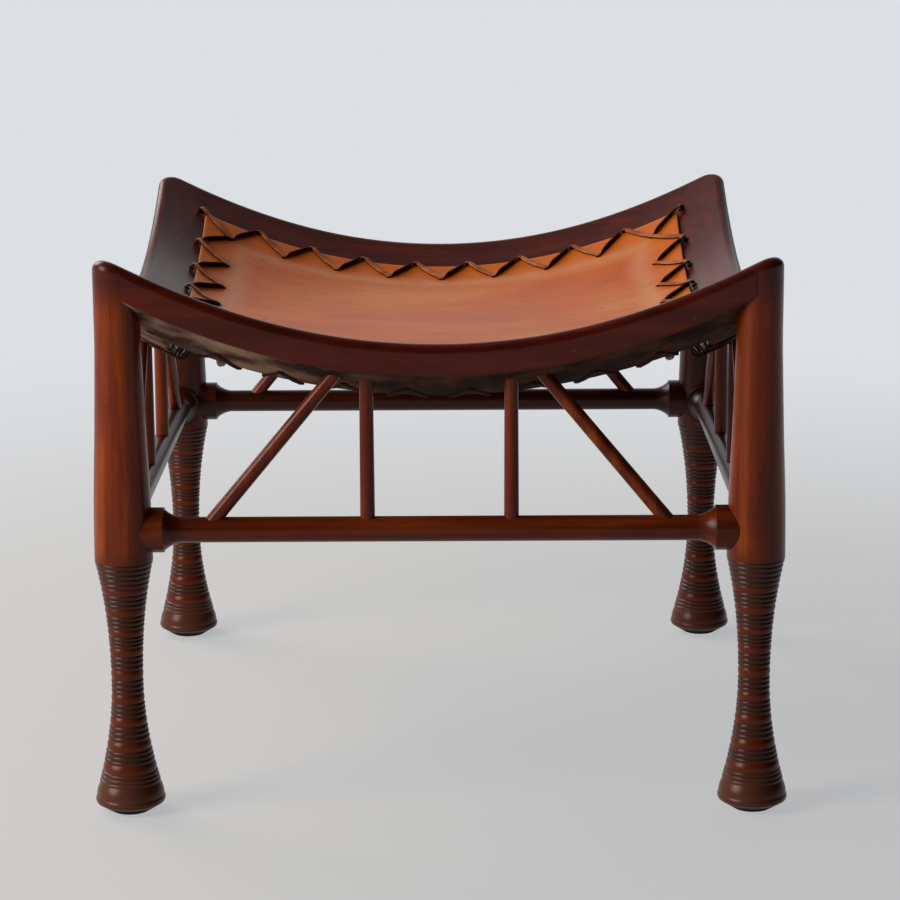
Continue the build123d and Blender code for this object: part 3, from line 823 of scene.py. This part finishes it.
def corner_run(edge, sign):
    """From the hole at the corner of the frame to the corner hole of the hide, with a tail below each."""
    corner = edge.point(sign * (edge.half_length - rail_hole_inset), rail_hole_inset)
    top = Vector((corner.x, corner.y, top_at(corner.x, corner.y)))
    inner = edge.point(sign * (edge.half_length - leather_hole_inset), leather_hole_inset)
    seat_hole = Vector((inner.x, inner.y, seat_at(inner.x, inner.y)))
    outwards = (edge.out + edge.along * sign).normalized()
    turned = (seat_hole - top).x * (seat_hole - top).y > 0
    facing = square_up(inner.x, inner.y)
    rows = [(top - up * corner_tail, outwards, narrow), (top, outwards, narrow)]
    rows.append((top + up * (over_hide + knuckle_on_edge), (outwards + up).normalized(), strap_width))
    rows += top_run(top, seat_hole, knuckle_on_edge, turned)
    rows.append((seat_hole + facing * over_hide, (facing - outwards).normalized(), narrow))
    rows.append((seat_hole - facing * past_hide * 2, -outwards, narrow))
    rows.append((seat_hole - facing * tail, -outwards, narrow))
    return rows


def cut_corners(rows, times):
    """Rounds a route by cutting a quarter off both ends of each stretch, in place, facing and width."""
    for _ in range(times):
        cut = [rows[0]]
        for before, after in zip(rows, rows[1:]):
            for share in (0.25, 0.75):
                cut.append(tuple(a * (1 - share) + b * share for a, b in zip(before, after)))
        rows = cut + [rows[-1]]
    return rows


def lay_thong(rows, name):
    """A flat strip of the thong laid along a route, a little crowned across its width."""
    rows = cut_corners(rows, times=2)
    last = len(rows) - 1
    bpy.ops.object.select_all(action="DESELECT")
    bpy.ops.mesh.primitive_grid_add(x_subdivisions=last, y_subdivisions=strap_cells, size=2)
    strip = bpy.context.object
    strip.name = name
    for vertex in strip.data.vertices:
        row = round((vertex.co.x + 1) / 2 * last)
        place, face, width = rows[row]
        run = (rows[min(row + 1, last)][0] - rows[max(row - 1, 0)][0]).normalized()
        across = face.cross(run).normalized()
        face = run.cross(across)
        crown = (1 - vertex.co.y**2) * strap_crown
        vertex.co = place + across * (vertex.co.y * width / 2) + face * crown
    return strip


def thong_leather(name, dark, body, pale, roughness, painted_shade_colour="#2A0F07"):
    """Oiled thong leather, cloudy from wear and polish, painted dark as shade and duller where it looks down.
    """
    material, tree = new_material(name)
    place = add_node(tree, "ShaderNodeTexCoord").outputs["Object"]
    # Clouds 14 mm long, and fibres drawn 1 mm apart, coarser than real ones, so that they show
    clouds = add_node(
        tree, "ShaderNodeTexNoise", {"Scale": 70, "Detail": 5, "Roughness": 0.6}, {"Vector": place}
    )
    fibres = add_node(
        tree, "ShaderNodeTexNoise", {"Scale": 900, "Detail": 3, "Roughness": 0.5}, {"Vector": place}
    )
    colour = ramp(tree, clouds.outputs["Fac"], ((0.34, dark), (0.5, body), (0.68, pale)))
    facing = add_node(tree, "ShaderNodeNewGeometry").outputs["Normal"]
    upward = add_node(tree, "ShaderNodeSeparateXYZ", links={0: facing}).outputs["Z"]
    # Painted shade: where the thong looks down it is painted dark.
    below = add_node(tree, "ShaderNodeMapRange", {"From Min": 0.45, "From Max": 0.1}, {"Value": upward})
    colour = mix_colour(tree, below.outputs[0], colour, painted_shade_colour)
    dull = add_node(
        tree, "ShaderNodeMapRange", {"To Min": roughness, "To Max": 0.9}, {"Value": below.outputs[0]}
    )
    relief = add_node(
        tree, "ShaderNodeBump", {"Strength": 0.3, "Distance": 0.0002}, {"Height": fibres.outputs["Fac"]}
    )
    shade = add_node(
        tree,
        "ShaderNodeBsdfPrincipled",
        {"IOR": 1.5, "Specular IOR Level": 0.2},
        {"Base Color": colour, "Roughness": dull.outputs[0], "Normal": relief.outputs[0]},
    )
    add_node(tree, "ShaderNodeOutputMaterial", links={"Surface": shade.outputs[0]})
    return material


# The grain side is tan like the hide. The flesh side is painted nearly black, painted shade for the shadow
# under a strap on edge, and the cut edges are dyed dark, with a painted shadow line.
thong_grain = thong_leather("tan_thong_grain_side", "#7C340C", "#A04E14", "#C0763C", 0.5)
thong_flesh_painted_shade = thong_leather("thong_flesh_side_painted_shade", "#170806", "#240D08", "#3A150C", 0.8)
thong_rim_dye_and_shadow = thong_leather("dyed_thong_edges_and_painted_shadow_line", "#3A170A", "#54220D", "#7A3A1C", 0.6)
knot_leather = thong_leather("worn_grey_thong_knots", "#8A8480", "#A8A29C", "#C4BEB8", 0.8, "#A8A29C")

# A small grey lump shows past the front rail's lower edge at each side. The two are taken for end knots.
# Each knot is two turns of the thong, one across the other.
knot_places = (-0.145, 0.1535)
knot_reach = 0.0034
knot_rise = 0.0004
knot_leans = (0.5, -0.9)
knot_turn_radius = 0.002
knot_thong_radius = 0.0015

for edge in edges:
    strips = [lay_thong(lace_pass(edge, forward), f"thong_{edge.name}") for forward in (True, False)]
    if edge.name in ("front", "back"):
        strips += [lay_thong(corner_run(edge, sign), f"thong_{edge.name}") for sign in (-1, 1)]
    bpy.ops.object.select_all(action="DESELECT")
    for strip in strips:
        strip.select_set(True)
    bpy.context.view_layer.objects.active = strips[0]
    bpy.ops.object.join()
    thong = bpy.context.object
    thong.name = f"thong_{edge.name}"
    thong.data.materials.append(thong_grain)
    thong.data.materials.append(thong_flesh_painted_shade)
    thong.data.materials.append(thong_rim_dye_and_shadow)
    body = thong.modifiers.new("body", "SOLIDIFY")
    body.thickness = strap_thickness
    body.offset = 0
    body.material_offset = 1
    body.material_offset_rim = 2
    rounding = thong.modifiers.new("rounding", "BEVEL")
    rounding.width = strap_edge_round
    rounding.segments = 1
    rounding.limit_method = "ANGLE"
    rounding.angle_limit = radians(60)
    for modifier in ("body", "rounding"):
        bpy.ops.object.modifier_apply(modifier=modifier)
    if edge.name == "front":
        for along in knot_places:
            knot_height = edge.under(along, edge_inset) + knot_rise
            knot_place = edge.point(along, edge_inset + knot_reach, knot_height)
            for lean in knot_leans:
                bpy.ops.object.select_all(action="DESELECT")
                bpy.ops.mesh.primitive_torus_add(
                    location=knot_place,
                    rotation=(pi / 2 + lean, lean, 0),
                    major_segments=24,
                    minor_segments=12,
                    major_radius=knot_turn_radius,
                    minor_radius=knot_thong_radius,
                )
                knot = bpy.context.object
                knot.data.materials.append(knot_leather)
                thong.select_set(True)
                bpy.context.view_layer.objects.active = thong
                bpy.ops.object.join()
    bpy.ops.object.select_all(action="DESELECT")
    thong.select_set(True)
    bpy.ops.object.shade_smooth_by_angle(angle=radians(50))
    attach(thong, "root")
    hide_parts(f"lacing_{edge.name}")
